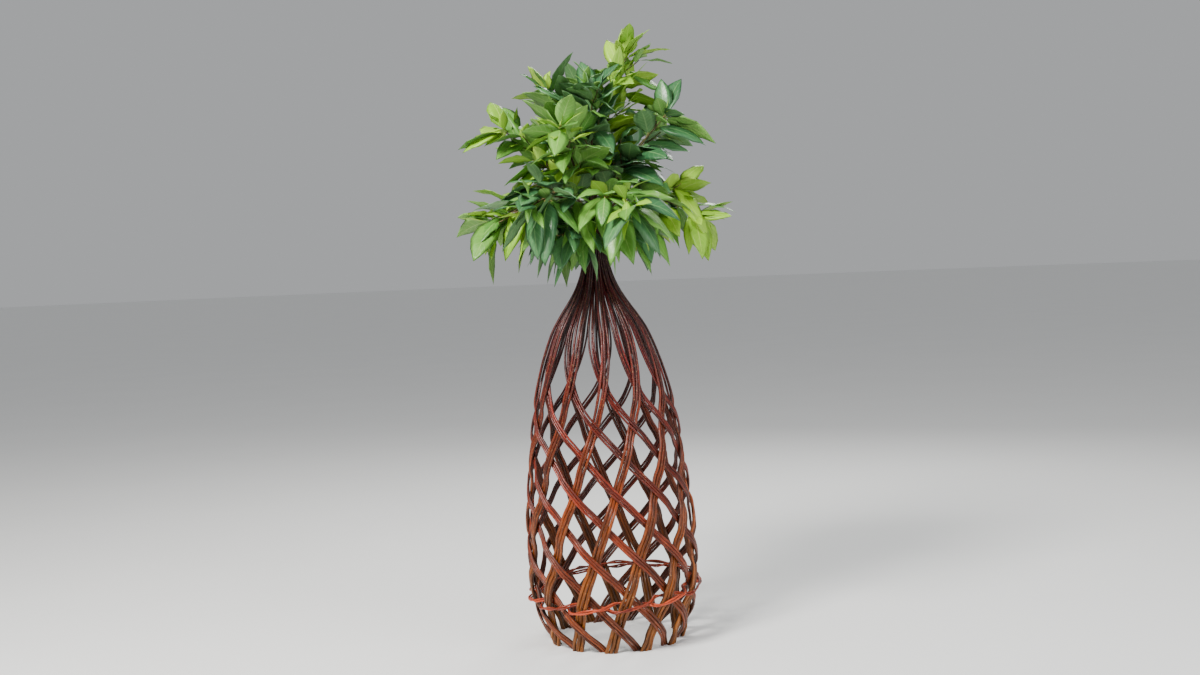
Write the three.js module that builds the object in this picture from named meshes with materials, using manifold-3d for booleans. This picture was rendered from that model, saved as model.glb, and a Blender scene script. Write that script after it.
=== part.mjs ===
// A living willow with a braided trunk: 24 flat stems, each of three rods grown side by side,
// cross over and under one another in an open lattice, gather at a neck and carry a leafy crown.
// Millimetres, +Z up, +Y away from the viewer. The origin is the cut foot of the front stem.
import * as THREE from 'three';
import { mergeVertices } from 'three/addons/utils/BufferGeometryUtils.js';
import Module from 'manifold-3d';

const wasm = await Module();
wasm.setup();

// Braided trunk
const STEMS_EACH_WAY = 12;
const STEM_PITCH = 360 / STEMS_EACH_WAY;
const NECK_TOP = 1270;
const LEAN = 1.0;
const FIRST_ROW_HEIGHT = 187;
const ROW_STEP = 103;
const ROW_ANGLE = 9.4;
const EASE_HEIGHT = 720;
const LAST_ROW = 6.5;
const FLAT_SHARE = 0.3;
const TRUNK_RADIUS = [
  [0, 203], [110, 247], [286, 265], [583, 243], [782, 212],
  [980, 150], [1118, 66], [1200, 37.5], [1270, 33.2],
];
const RIGHT_LEANING = { name: 'stem_right', turn: 8.5, side: 1, footRod: 13, neckRod: 6.2, colour: 0x8a4a26 };
const LEFT_LEANING = { name: 'stem_left', turn: -21.5, side: -1, footRod: 9.6, neckRod: 5.2, colour: 0x7a3328 };
const ORIGIN_STEM = 0;
const VALLEY_SHARE = 0.24;
const EDGE_SHARE = 1.44;
const WEAVE_GAP_FOOT = 3.2;
const WEAVE_GAP_NECK = 1.2;
const UPPER_HEIGHTS = [855, 950, 1040, 1112, 1182, NECK_TOP];

// Binding: two rods twined round the trunk
const BINDING_HEIGHT = 165;
const BINDING_TILT_RIGHT = 0.06;
const BINDING_TILT_BACK = 0.05;
const BINDING_STATIONS = 60;
const BINDING_SIDES = 5;
const BINDING_THICKNESS = 7;
const BINDING_TALL = 12.5;
const BINDING_SWING = 7.2;
const BINDING_CLEAR_OUTSIDE = 0.95;
const BINDING_CLEAR_INSIDE = 3.6;
const BINDING_STEEPNESS = 2;
const BINDING_COLOUR = 0xa83a2a;

// Crown head: the cut tops of the rods
const HEAD_GAP = 0.3;
const HEAD_PROFILE = [[1270.3, 33], [1320, 30.5], [1380, 27.5], [1410, 22.5], [1420, 15]];
const HEAD_LOBES = 12;
const HEAD_LOBE_DEPTH = 0.05;
const HEAD_COLOUR = 0x4a2530;

// Crown: shoots leave the head in tiers and end in masses of leaves
const BOUGH_SHARE = 0.3;
const BOUGH_SIDES = 5;
const BOUGH_STATIONS = 3;
const TWIG_SIDES = 3;
const STEM_STATIONS = 5;
const TIERS = [
  {
    name: 'low', count: 6, turn: 30, start: [12, 1312], bend: [165, 1462], tip: [330, 1356],
    foot: 5.4, end: 2.2, leaves: 8, leaf: 184, droop: 0.5, seed: 41,
  },
  {
    name: 'mid', count: 5, turn: -80, start: [11, 1352], bend: [105, 1512], tip: [270, 1626],
    foot: 5.2, end: 2.2, leaves: 8, leaf: 180, droop: 0.32, seed: 88,
  },
  {
    name: 'top', count: 4, turn: -75, start: [9, 1392], bend: [38, 1570], tip: [118, 1728],
    foot: 4.8, end: 2.1, leaves: 7, leaf: 168, droop: 0.12, seed: 23,
  },
];
const LEADER = { tier: 'top', index: 2, lift: 142, reach: 14 };
const INNER = {
  name: 'inner', count: 3, turn: -16, start: [24, 1296], bend: [85, 1345], tip: [140, 1312],
  foot: 3.6, end: 2.1, leaves: 6, leaf: 156, droop: 0.62, seed: 59,
};
const SEED_STEP = 97;
const AZIMUTH_SPREAD = 7;
const SWAY = 26;
const TIP_SWAY_SHARE = 1.6;
const FIRST_NORMAL = [0.31, 0.27, 0.91];
const FIRST_LEAF = 0.1;
const FIRST_INNER_LEAF = 0.3;
const LAST_LEAF = 0.97;
const SIDE_TWIGS = [0.22, 0.52];
const SIDE_TWIG_SPREAD = 50;
const SIDE_TWIG_LENGTH = 92;
const SIDE_TWIG_DICE = [0.8, 1.15];
const SIDE_TWIG_BEND = [0.35, 0.35];
const SIDE_TWIG_TIP = [0.8, 0.6];
const SIDE_TWIG_TAPER = 0.8;
const SIDE_TWIG_STATIONS = 3;
const SIDE_TWIG_LEAVES = 2;
const SIDE_TWIG_LEAF_SPAN = [0.5, 0.96];
const SIDE_TWIG_LEAF_SHARE = 0.86;
const TIP_LEAVES = 3;
const TIP_LEAF_SPAN = [0.96, 0.99];
const TIP_LEAF_SHARE = 0.9;
const TIP_DROOP_SHARE = 0.8;
const LEAF_SIZES_ALONG = [1.05, 0.8];
const LEAF_SIZE_DICE = [0.9, 1.1];
const OPEN_ALONG = [1, 0.72];
const SAG_DICE = [0.7, 1.25];
const GOLDEN_TURN = 137.5;
const FORWARD = 0.62;
const ROLL = 42;
const ROOT_SUNK = 0.2;
const BLADE_FROM = 0.45;
const SMALLEST_DETAIL = 0.45;
const MERGE_DISTANCE = 1e-4;
const SPEED_STEP = 0.01;
const UPRIGHT_LIMIT = 0.1;
const CLEARANCE_REACH = 30;
const LEAF_TRIES = [
  [0, 1], [30, 0.96], [-30, 0.96], [60, 0.9], [-60, 0.9], [95, 0.84], [-95, 0.84], [0, 0.7], [180, 0.7],
];
const BOUGH_COLOUR = 0x6a4a30;
const LEAF_COLOUR = 0x5f8f3a;
const LEAF_WIDTH_SHARE = 0.39;
const LEAF_THICKNESS_SHARE = 0.014;
const LEAF_FOLD = 0.12;
const LEAF_WIDEST = 0.46;
const SMALLEST_LEAF = 80;
const CROWN_FLOOR = 1078;
const OWN_SPACE_SHARE = 1.18;
const TRUNK_CLEAR = 12;
const TOUCH_CLEAR = 1.2;

const WORLD_UP = new THREE.Vector3(0, 0, 1);
const FULL_TURN = 360;

function radians(angle) {
  return THREE.MathUtils.degToRad(angle);
}

function mix(from, to, share) {
  return from + (to - from) * share;
}

// The same numbers on every run
function makeDice(seed) {
  let state = seed;
  return (low, high) => {
    state = (state * 16807) % 2147483647;
    return mix(low, high, state / 2147483647);
  };
}

// Smooth curve through a table of height and value
function smoothTable(table, height) {
  const last = table.length - 1;
  const slope = (i) => {
    const before = table[Math.max(i - 1, 0)];
    const after = table[Math.min(i + 1, last)];
    return (after[1] - before[1]) / (after[0] - before[0]);
  };
  let i = 0;
  while (i < last - 1 && height > table[i + 1][0]) {
    i += 1;
  }
  const span = table[i + 1][0] - table[i][0];
  const t = THREE.MathUtils.clamp((height - table[i][0]) / span, 0, 1);
  const bend = t * t * (3 - 2 * t);
  return mix(table[i][1], table[i + 1][1], bend)
    + span * (slope(i) * t * (1 - t) * (1 - t) - slope(i + 1) * t * t * (1 - t));
}

// Rows of crossings passed at a height: even up the lattice, then easing to none at the neck
const EASE_ROW = (EASE_HEIGHT - FIRST_ROW_HEIGHT) / ROW_STEP;
const EASE_LENGTH = 2 * ROW_STEP * (LAST_ROW - EASE_ROW);

function rowAt(height) {
  const past = THREE.MathUtils.clamp(height - EASE_HEIGHT, 0, EASE_LENGTH);
  const even = Math.min(height, EASE_HEIGHT) - FIRST_ROW_HEIGHT;
  return (even + past - (past * past) / (2 * EASE_LENGTH)) / ROW_STEP;
}

function heightOfRow(row) {
  const past = (row - EASE_ROW) * ROW_STEP;
  if (past <= 0) {
    return FIRST_ROW_HEIGHT + row * ROW_STEP;
  }
  return EASE_HEIGHT + EASE_LENGTH * (1 - Math.sqrt(1 - (2 * past) / EASE_LENGTH));
}

function rodAt(family, height) {
  return mix(family.footRod, family.neckRod, height / NECK_TOP);
}

// Half the distance between the middles of two stems that cross
function weaveOffset(height) {
  const rods = (rodAt(RIGHT_LEANING, height) + rodAt(LEFT_LEANING, height)) / 2;
  return (rods + mix(WEAVE_GAP_FOOT, WEAVE_GAP_NECK, height / NECK_TOP)) / 2;
}

// 1 where the right-leaning stem is outside, -1 where the left-leaning one is
function weaveAt(row) {
  if (row >= LAST_ROW - 0.5) {
    return 1;
  }
  const nearest = Math.round(row);
  const sign = Math.abs(nearest % 2) === 0 ? 1 : -1;
  const away = Math.abs(row - nearest);
  return sign * Math.min(1, (0.5 - away) / (0.5 - FLAT_SHARE));
}

function stemAngle(family, number, height) {
  return ROW_ANGLE + number * STEM_PITCH + family.turn * rowAt(height);
}

// Unit vector away from the trunk's axis; angle 0 faces the viewer and grows to the right
function outward(angle) {
  return new THREE.Vector3(Math.sin(radians(angle)), -Math.cos(radians(angle)), 0);
}

const FOOT_RADIUS = smoothTable(TRUNK_RADIUS, 0) + weaveOffset(0) * weaveAt(rowAt(0));
const TRUNK_FOOT = outward(stemAngle(RIGHT_LEANING, ORIGIN_STEM, 0)).multiplyScalar(-FOOT_RADIUS);

function trunkAxis(height) {
  return new THREE.Vector3(TRUNK_FOOT.x - Math.tan(radians(LEAN)) * height, TRUNK_FOOT.y, height);
}

function trunkNormal(height, angle) {
  const slope = (smoothTable(TRUNK_RADIUS, height + 1) - smoothTable(TRUNK_RADIUS, height - 1)) / 2;
  return outward(angle).addScaledVector(WORLD_UP, -slope).normalize();
}

// Frame at each point of a path: ahead along it, out from its middle and sideways
function framesAlong(path, normals, courses) {
  return path.map((point, i) => {
    const before = path[Math.max(i - 1, 0)];
    const after = path[Math.min(i + 1, path.length - 1)];
    const ahead = courses ? courses[i] : after.clone().sub(before).normalize();
    const out = normals[i].clone().addScaledVector(ahead, -normals[i].dot(ahead)).normalize();
    return { point, ahead, out, side: ahead.clone().cross(out) };
  });
}

function slideToHeight(place, ahead, height) {
  return place.addScaledVector(ahead, (height - place.z) / ahead.z);
}

// A cylinder bent along frames; outlines[i] lists [across, out] round each frame
function sweep(frames, outlines, cuts = {}) {
  const sides = outlines[0].length;
  const last = frames.length - 1;
  const geometry = new THREE.CylinderGeometry(1, 1, 1, sides, last);
  const corners = geometry.attributes.position;
  const spot = new THREE.Vector3();
  for (let i = 0; i < corners.count; i += 1) {
    spot.fromBufferAttribute(corners, i);
    const station = Math.round((spot.y + 0.5) * last);
    const column = Math.round((Math.atan2(spot.x, spot.z) / (2 * Math.PI)) * sides + sides) % sides;
    const isMiddle = Math.hypot(spot.x, spot.z) < 0.5;
    const [across, out] = isMiddle ? [0, 0] : outlines[station][column];
    const frame = frames[station];
    const place = frame.point.clone().addScaledVector(frame.side, across).addScaledVector(frame.out, out);
    if (station === 0 && cuts.foot !== undefined) {
      slideToHeight(place, frame.ahead, cuts.foot);
    }
    if (station === last && cuts.top !== undefined) {
      slideToHeight(place, frame.ahead, cuts.top);
    }
    corners.setXYZ(i, place.x, place.y, place.z);
  }
  return geometry;
}

function sealed(geometry) {
  geometry.deleteAttribute('normal');
  geometry.deleteAttribute('uv');
  return mergeVertices(geometry, MERGE_DISTANCE);
}

function toSolid(geometry) {
  const closed = sealed(geometry);
  return new wasm.Manifold(new wasm.Mesh({
    numProp: 3,
    vertProperties: new Float32Array(closed.attributes.position.array),
    triVerts: new Uint32Array(closed.index.array),
  }));
}

function toGeometry(solid) {
  const mesh = solid.getMesh();
  const geometry = new THREE.BufferGeometry();
  geometry.setAttribute('position', new THREE.BufferAttribute(mesh.vertProperties, 3));
  geometry.setIndex(new THREE.BufferAttribute(mesh.triVerts, 1));
  return geometry;
}

const group = new THREE.Group();
group.name = 'braided_willow';

function addNode(name, geometry, colour, roughness) {
  const shaded = geometry;
  shaded.computeVertexNormals();
  const mesh = new THREE.Mesh(shaded, new THREE.MeshStandardMaterial({ color: colour, roughness }));
  mesh.name = name;
  group.add(mesh);
}

// Three rods side by side: three lobes outside, a low ridge inside
function stemOutline(rod) {
  const crest = rod / 2;
  const valley = rod * VALLEY_SHARE;
  const edge = rod * EDGE_SHARE;
  return [
    [0, crest], [rod / 2, valley], [rod, crest], [edge, -valley],
    [0, -crest], [-edge, -valley], [-rod, crest], [-rod / 2, valley],
  ];
}

function stemHeights() {
  const heights = [0];
  for (let row = -1; row < LAST_ROW - 0.5; row += 1) {
    heights.push(heightOfRow(row - FLAT_SHARE), heightOfRow(row + FLAT_SHARE));
  }
  heights.push(heightOfRow(LAST_ROW - 0.5 - FLAT_SHARE));
  return heights.concat(UPPER_HEIGHTS);
}

function stemGeometry(family, number) {
  const heights = stemHeights();
  const path = [];
  const normals = [];
  const outlines = [];
  heights.forEach((height) => {
    const angle = stemAngle(family, number, height);
    const offset = family.side * weaveOffset(height) * weaveAt(rowAt(height));
    const reach = smoothTable(TRUNK_RADIUS, height) + offset;
    path.push(trunkAxis(height).addScaledVector(outward(angle), reach));
    normals.push(trunkNormal(height, angle));
    outlines.push(stemOutline(rodAt(family, height)));
  });
  return sweep(framesAlong(path, normals), outlines, { foot: 0, top: NECK_TOP });
}

for (const family of [RIGHT_LEANING, LEFT_LEANING]) {
  for (let number = 0; number < STEMS_EACH_WAY; number += 1) {
    const label = String(number + 1).padStart(2, '0');
    addNode(`${family.name}_${label}`, sealed(stemGeometry(family, number)), family.colour, 0.6);
  }
}

// A ring that passes outside one pair of crossing stems and inside the next
function bindingGeometry(phase) {
  const geometry = new THREE.TorusGeometry(1, 0.1, BINDING_SIDES, BINDING_STATIONS);
  const corners = geometry.attributes.position;
  const pairAngle = ROW_ANGLE + ((RIGHT_LEANING.turn + LEFT_LEANING.turn) / 2) * rowAt(BINDING_HEIGHT);
  for (let i = 0; i < corners.count; i += 1) {
    const station = i % (BINDING_STATIONS + 1);
    const column = Math.floor(i / (BINDING_STATIONS + 1));
    const around = (FULL_TURN * (station % BINDING_STATIONS)) / BINDING_STATIONS;
    const twist = radians((around * STEMS_EACH_WAY) / 2 + phase);
    const swing = THREE.MathUtils.clamp(BINDING_STEEPNESS * Math.cos(twist), -1, 1);
    const away = outward(around + pairAngle);
    const tilt = away.x * BINDING_TILT_RIGHT + away.y * BINDING_TILT_BACK;
    const middle = smoothTable(TRUNK_RADIUS, BINDING_HEIGHT);
    const height = BINDING_HEIGHT + tilt * middle + BINDING_SWING * Math.sin(twist);
    const family = swing > 0 ? RIGHT_LEANING : LEFT_LEANING;
    const spare = swing > 0 ? BINDING_CLEAR_OUTSIDE : BINDING_CLEAR_INSIDE;
    const clear = weaveOffset(height) + rodAt(family, height) / 2 + BINDING_THICKNESS / 2 + spare;
    const round = radians((FULL_TURN * (column % BINDING_SIDES)) / BINDING_SIDES);
    const reach = smoothTable(TRUNK_RADIUS, height) + swing * clear
      + Math.cos(round) * (BINDING_THICKNESS / 2);
    const place = trunkAxis(height).addScaledVector(away, reach);
    corners.setXYZ(i, place.x, place.y, place.z + Math.sin(round) * (BINDING_TALL / 2));
  }
  return sealed(geometry);
}

addNode('binding_rod_a', bindingGeometry(0), BINDING_COLOUR, 0.5);
addNode('binding_rod_b', bindingGeometry(FULL_TURN / 2), BINDING_COLOUR, 0.5);

// Head of gathered rod tops, grown by extra on the sides
function headGeometry(extra) {
  const sides = HEAD_LOBES * 2;
  const path = HEAD_PROFILE.map(([height]) => trunkAxis(height));
  const normals = HEAD_PROFILE.map(() => outward(0));
  const outlines = HEAD_PROFILE.map(([, radius]) => Array.from({ length: sides }, (unused, i) => {
    const reach = radius * (1 + (i % 2 === 0 ? HEAD_LOBE_DEPTH : -HEAD_LOBE_DEPTH)) + extra;
    const round = (2 * Math.PI * i) / sides;
    return [reach * Math.sin(round), reach * Math.cos(round)];
  }));
  const frames = framesAlong(path, normals);
  frames[path.length - 1].point.addScaledVector(WORLD_UP, extra);
  return sweep(frames, outlines, { foot: HEAD_PROFILE[0][0] - extra });
}

addNode('crown_head', sealed(headGeometry(0)), HEAD_COLOUR, 0.75);
const headSpace = toSolid(headGeometry(HEAD_GAP));

// Shoots: a quadratic curve in an upright plane, swayed sideways by the dice
function planShoot(tier, index) {
  const dice = makeDice(tier.seed + SEED_STEP * (index + 1));
  const azimuth = tier.turn + (FULL_TURN * index) / tier.count + dice(-AZIMUTH_SPREAD, AZIMUTH_SPREAD);
  const isLeader = tier.name === LEADER.tier && index === LEADER.index;
  const lift = isLeader ? LEADER.lift : 0;
  const reach = isLeader ? LEADER.reach : 0;
  const away = outward(azimuth);
  const sideways = outward(azimuth + 90);
  const place = ([radius, height], sway, rise) => trunkAxis(height)
    .addScaledVector(away, radius).addScaledVector(sideways, sway).addScaledVector(WORLD_UP, rise);
  const start = place(tier.start, 0, 0);
  const bend = place(tier.bend, dice(-SWAY, SWAY), dice(-SWAY, SWAY) / 2 + lift / 2);
  const tipSway = TIP_SWAY_SHARE * dice(-SWAY, SWAY);
  const tip = place([tier.tip[0] + reach, tier.tip[1]], tipSway, dice(-SWAY, SWAY) + lift);
  const curve = new THREE.QuadraticBezierCurve3(start, bend, tip);
  return { tier, index, dice, azimuth, curve };
}

// Normals that turn with a curve without twisting round it
function curveNormals(courses) {
  let normal = new THREE.Vector3(...FIRST_NORMAL);
  return courses.map((ahead) => {
    normal = normal.clone().addScaledVector(ahead, -normal.dot(ahead)).normalize();
    return normal;
  });
}

function shares(from, to, stations) {
  return Array.from({ length: stations }, (unused, i) => mix(from, to, i / (stations - 1)));
}

// A round limb along part of a curve, with a radius at each end
function limbGeometry(curve, [from, to], [footRadius, endRadius], sides, stations) {
  const steps = shares(from, to, stations);
  const path = steps.map((share) => curve.getPoint(share));
  const courses = steps.map((share) => curve.getTangent(share));
  const outlines = steps.map((share, i) => {
    const radius = mix(footRadius, endRadius, i / (stations - 1));
    return Array.from({ length: sides }, (unused, k) => {
      const round = (2 * Math.PI * k) / sides;
      return [radius * Math.sin(round), radius * Math.cos(round)];
    });
  });
  return sweep(framesAlong(path, curveNormals(courses), courses), outlines);
}

const shoots = [...TIERS, INNER].flatMap((tier) => (
  Array.from({ length: tier.count }, (unused, index) => planShoot(tier, index))
));

// Solids already in place that a leaf or twig must not touch
const taken = [{ owner: -1, solid: headSpace, box: headSpace.boundingBox() }];

function boxesMeet(a, b) {
  return [0, 1, 2].every((i) => a.min[i] <= b.max[i] && b.min[i] <= a.max[i]);
}

function isTouching(solid, others, owner) {
  const box = solid.boundingBox();
  return others.some((other) => (owner === undefined || other.owner !== owner)
    && boxesMeet(box, other.box) && solid.intersect(other.solid).volume() > 0);
}

for (const shoot of shoots) {
  if (shoot.tier === INNER) {
    continue;
  }
  const radii = [shoot.tier.foot, mix(shoot.tier.foot, shoot.tier.end, BOUGH_SHARE)];
  const bough = limbGeometry(shoot.curve, [0, BOUGH_SHARE], radii, BOUGH_SIDES, BOUGH_STATIONS);
  const limb = toSolid(bough).subtract(headSpace);
  taken.push({ owner: -1, solid: limb, box: limb.boundingBox() });
  addNode(`bough_${shoot.tier.name}_${shoot.index + 1}`, toGeometry(limb), BOUGH_COLOUR, 0.8);
}

// Points along every shoot, by which a place is told to belong to one mass
const SHOOT_MARKS = 9;
const shootMarks = shoots.map((shoot) => (
  shares(BOUGH_SHARE, 1, SHOOT_MARKS).map((share) => shoot.curve.getPoint(share))
));

function distanceToShoot(place, number) {
  return Math.min(...shootMarks[number].map((mark) => mark.distanceTo(place)));
}

function isOwnSpace(place, number) {
  const own = distanceToShoot(place, number);
  return shoots.every((unused, other) => other === number
    || own < OWN_SPACE_SHARE * distanceToShoot(place, other));
}

function isClearOfTrunk(place) {
  const axis = trunkAxis(place.z);
  const away = Math.hypot(place.x - axis.x, place.y - axis.y);
  const headReach = HEAD_PROFILE[0][1] + TRUNK_CLEAR;
  if (place.z > NECK_TOP) {
    return place.z > HEAD_PROFILE[HEAD_PROFILE.length - 1][0] + TRUNK_CLEAR || away > headReach;
  }
  return away > smoothTable(TRUNK_RADIUS, place.z) + weaveOffset(place.z) + TRUNK_CLEAR;
}

// The points a leaf passes through: root, tip and the widest place on both sides
function leafPlan(root, ahead, length, droop, roll) {
  const level = new THREE.Vector3().crossVectors(ahead, WORLD_UP);
  if (level.length() < UPRIGHT_LIMIT) {
    level.set(1, 0, 0);
  }
  level.normalize().applyAxisAngle(ahead, radians(roll));
  const face = new THREE.Vector3().crossVectors(level, ahead).normalize();
  const middle = root.clone().addScaledVector(ahead, length * LEAF_WIDEST)
    .addScaledVector(WORLD_UP, -droop * length * LEAF_WIDEST * LEAF_WIDEST);
  const tip = root.clone().addScaledVector(ahead, length).addScaledVector(WORLD_UP, -droop * length);
  const halfWidth = (length * LEAF_WIDTH_SHARE) / 2;
  const edge = middle.clone().addScaledVector(face, halfWidth * 2 * LEAF_FOLD);
  const left = edge.clone().addScaledVector(level, halfWidth);
  const right = edge.clone().addScaledVector(level, -halfWidth);
  return { root, tip, left, right, middle, face };
}

// An octahedron drawn out to the leaf's points, its root moved up the leaf by a share
function leafSolid(plan, length, extra, rootShare) {
  const half = (length * LEAF_THICKNESS_SHARE) / 2 + extra;
  const geometry = new THREE.OctahedronGeometry(1, 0);
  const corners = geometry.attributes.position;
  const spot = new THREE.Vector3();
  const grown = 1 + extra / CLEARANCE_REACH;
  for (let i = 0; i < corners.count; i += 1) {
    spot.fromBufferAttribute(corners, i);
    let place = plan.middle.clone();
    if (Math.abs(spot.y) > 0.5) {
      place = spot.y > 0 ? plan.tip.clone() : plan.root.clone().lerp(plan.middle, rootShare);
    } else if (Math.abs(spot.x) > 0.5) {
      place = (spot.x > 0 ? plan.left : plan.right).clone();
    } else {
      place.addScaledVector(plan.face, spot.z > 0 ? half : -half);
    }
    place.sub(plan.middle).multiplyScalar(grown).add(plan.middle);
    corners.setXYZ(i, place.x, place.y, place.z);
  }
  return toSolid(geometry);
}

// A leaf is turned and shortened until it fits, or skipped
function placeLeaf(mass, twig, root, ahead, out, length, droop, roll) {
  for (const [turn, share] of LEAF_TRIES) {
    const size = Math.max(length * share, SMALLEST_LEAF);
    const turned = out.clone().applyAxisAngle(ahead, radians(turn));
    const course = ahead.clone().multiplyScalar(FORWARD).add(turned).normalize();
    const foot = root.clone().addScaledVector(course, -ROOT_SUNK * twig);
    const plan = leafPlan(foot, course, size, droop, roll);
    const checks = [plan.tip, plan.left, plan.right, plan.middle];
    const fits = checks.every((place) => place.z > CROWN_FLOOR && isClearOfTrunk(place)
      && isOwnSpace(place, mass.number));
    if (!fits || isTouching(leafSolid(plan, size, TOUCH_CLEAR, 0), taken, mass.number)) {
      continue;
    }
    const blade = leafSolid(plan, size, 0, BLADE_FROM);
    if (!isTouching(blade, mass.blades)) {
      mass.blades.push({ solid: blade, box: blade.boundingBox() });
      mass.pieces.push(leafSolid(plan, size, 0, 0));
      return;
    }
  }
}

// Leaves set one by one round part of a curve, each a golden turn on from the last
function leavesAlong(mass, curve, [from, to], count, [footRadius, endRadius], length, droop) {
  const { dice } = mass;
  const firstTurn = dice(0, FULL_TURN);
  shares(from, to, count).forEach((share, i) => {
    const done = i / Math.max(count - 1, 1);
    const ahead = curve.getTangent(share);
    const level = new THREE.Vector3().crossVectors(ahead, WORLD_UP).normalize();
    const out = level.applyAxisAngle(ahead, radians(firstTurn + GOLDEN_TURN * i));
    const grown = length * mix(...LEAF_SIZES_ALONG, done) * dice(...LEAF_SIZE_DICE);
    const open = mix(...OPEN_ALONG, done);
    const course = out.multiplyScalar(open).addScaledVector(ahead, 1 - open).normalize();
    const twig = mix(footRadius, endRadius, done);
    const sag = droop * dice(...SAG_DICE);
    placeLeaf(mass, twig, curve.getPoint(share), ahead, course, grown, sag, dice(-ROLL, ROLL));
  });
}

function addSideTwig(mass, curve, share, turn) {
  const { tier, dice } = shoots[mass.number];
  const root = curve.getPoint(share);
  const ahead = curve.getTangent(share);
  const out = new THREE.Vector3().crossVectors(ahead, WORLD_UP).normalize()
    .applyAxisAngle(ahead, radians(turn + dice(-SIDE_TWIG_SPREAD, SIDE_TWIG_SPREAD)));
  const length = SIDE_TWIG_LENGTH * dice(...SIDE_TWIG_DICE);
  const place = ([forward, aside]) => root.clone().addScaledVector(ahead, length * forward)
    .addScaledVector(out, length * aside);
  const bend = place(SIDE_TWIG_BEND);
  const tip = place(SIDE_TWIG_TIP);
  const twigCurve = new THREE.QuadraticBezierCurve3(root, bend, tip);
  const radii = [tier.end, tier.end * SIDE_TWIG_TAPER];
  const twig = toSolid(limbGeometry(twigCurve, [0, 1], radii, TWIG_SIDES, SIDE_TWIG_STATIONS));
  if (isOwnSpace(tip, mass.number) && isClearOfTrunk(tip) && !isTouching(twig, taken, mass.number)) {
    mass.pieces.push(twig);
    const leaf = tier.leaf * SIDE_TWIG_LEAF_SHARE;
    leavesAlong(mass, twigCurve, SIDE_TWIG_LEAF_SPAN, SIDE_TWIG_LEAVES, radii, leaf, tier.droop);
  }
}

// True when each edge joins two faces, with places told apart to a thousandth
function isSound(solid) {
  const { vertProperties, triVerts } = solid.getMesh();
  const names = new Map();
  const corner = (i) => {
    const key = Array.from(vertProperties.slice(3 * i, 3 * i + 3), (value) => value.toFixed(3)).join();
    if (!names.has(key)) {
      names.set(key, names.size);
    }
    return names.get(key);
  };
  const edges = new Set();
  for (let i = 0; i < triVerts.length; i += 3) {
    const face = [0, 1, 2].map((k) => corner(triVerts[i + k]));
    for (let k = 0; k < 3; k += 1) {
      const [from, to] = [face[k], face[(k + 1) % 3]];
      if (from === to || edges.has(`${from}>${to}`)) {
        return false;
      }
      edges.add(`${from}>${to}`);
    }
  }
  const isPaired = Array.from(edges).every((edge) => edges.has(edge.split('>').reverse().join('>')));
  return isPaired && solid.decompose().length === 1;
}

// Pieces fused into one closed body: a piece that spoils it is left out
function fuse(pieces) {
  let whole = pieces[0];
  for (const piece of pieces.slice(1)) {
    const bodies = whole.add(piece).decompose().sort((a, b) => b.volume() - a.volume());
    const grown = bodies[0].simplify(SMALLEST_DETAIL);
    if (isSound(grown)) {
      whole = grown;
    }
  }
  return whole;
}

function massSolid(number) {
  const { tier, dice, curve } = shoots[number];
  const isInner = tier === INNER;
  const from = isInner ? 0 : BOUGH_SHARE;
  const speed = curve.getPoint(from).distanceTo(curve.getPoint(from + SPEED_STEP)) / SPEED_STEP;
  const radii = [mix(tier.foot, tier.end, from), tier.end];
  const reach = [from + HEAD_GAP / speed, 1];
  const stem = toSolid(limbGeometry(curve, reach, radii, TWIG_SIDES, STEM_STATIONS));
  const mass = { number, dice, blades: [], pieces: [isInner ? stem.subtract(headSpace) : stem] };
  const firstLeaf = mix(from, 1, isInner ? FIRST_INNER_LEAF : FIRST_LEAF);
  leavesAlong(mass, curve, [firstLeaf, LAST_LEAF], tier.leaves, radii, tier.leaf, tier.droop);
  if (!isInner) {
    SIDE_TWIGS.forEach((share, i) => addSideTwig(mass, curve, mix(from, 1, share), (FULL_TURN / 2) * i));
  }
  const tipRadii = [tier.end, tier.end];
  const tipLeaf = tier.leaf * TIP_LEAF_SHARE;
  leavesAlong(mass, curve, TIP_LEAF_SPAN, TIP_LEAVES, tipRadii, tipLeaf, tier.droop * TIP_DROOP_SHARE);
  return fuse(mass.pieces);
}

shoots.forEach((shoot, number) => {
  const mass = massSolid(number);
  taken.push({ owner: number, solid: mass, box: mass.boundingBox() });
  addNode(`leaves_${shoot.tier.name}_${shoot.index + 1}`, toGeometry(mass), LEAF_COLOUR, 0.7);
});

export default group;
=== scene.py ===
# %% [markdown]
# This lesson dresses a living willow whose trunk is braided from seventy-two rods. The solid
# CAD model is the frame: it is loaded first and never moved, and each new piece says which of
# its nodes it stands for. Every mesh is shaped in millimetres and scaled to metres at the end.

# %% Load the frame
import math

import bmesh
import bpy
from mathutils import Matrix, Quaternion, Vector


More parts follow.
